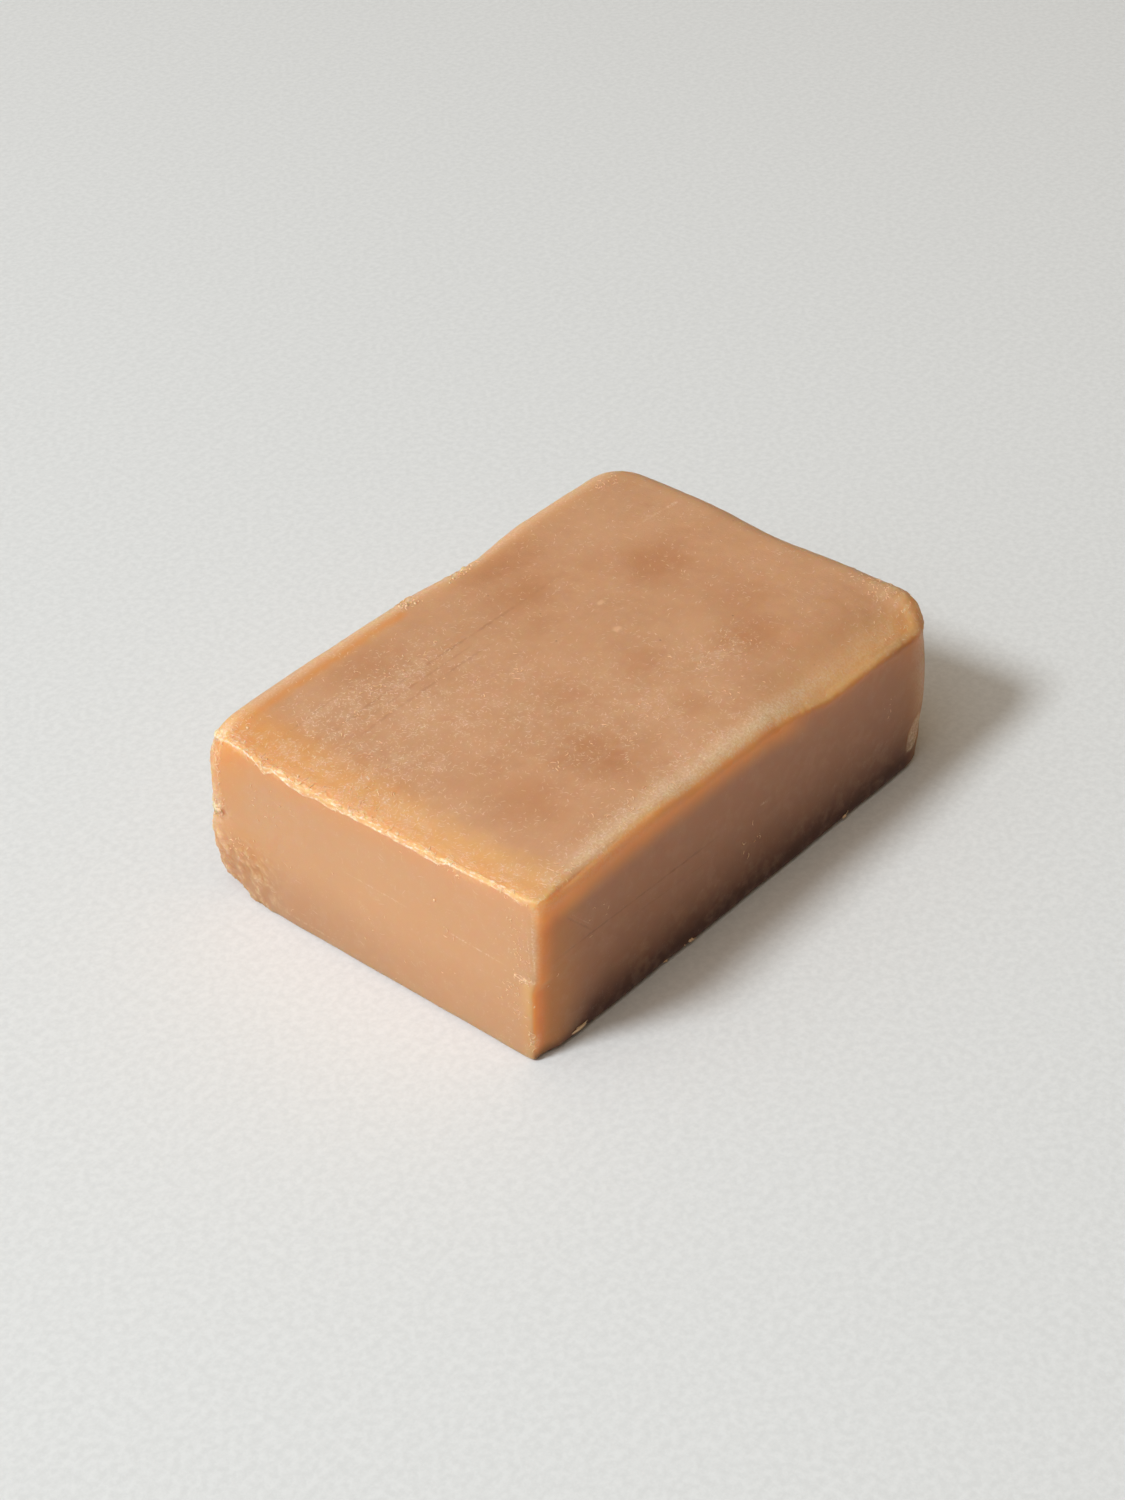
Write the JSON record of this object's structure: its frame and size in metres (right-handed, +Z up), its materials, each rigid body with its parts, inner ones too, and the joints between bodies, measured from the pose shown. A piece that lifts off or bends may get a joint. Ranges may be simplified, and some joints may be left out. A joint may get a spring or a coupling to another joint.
{
  "type": "bar of soap",
  "caption": "Hand-cut rectangular bar of soap with softened edges, an uneven outline, a broken lower corner and a flat base to lie on.",
  "frame": {"origin": "middle of the bar's extent, at the flat base it lies on", "axes": "+X along the bar's length, +Y across it towards its back side, +Z up from the base"},
  "size_m": [0.0836, 0.0564, 0.0255],
  "materials": {
    "soap": "waxy matt soap, caramel to peach, with paler rubbed edges"
  },
  "bodies": {
    "root": {"soap_bar": "soap"}
  },
  "joints": []
}
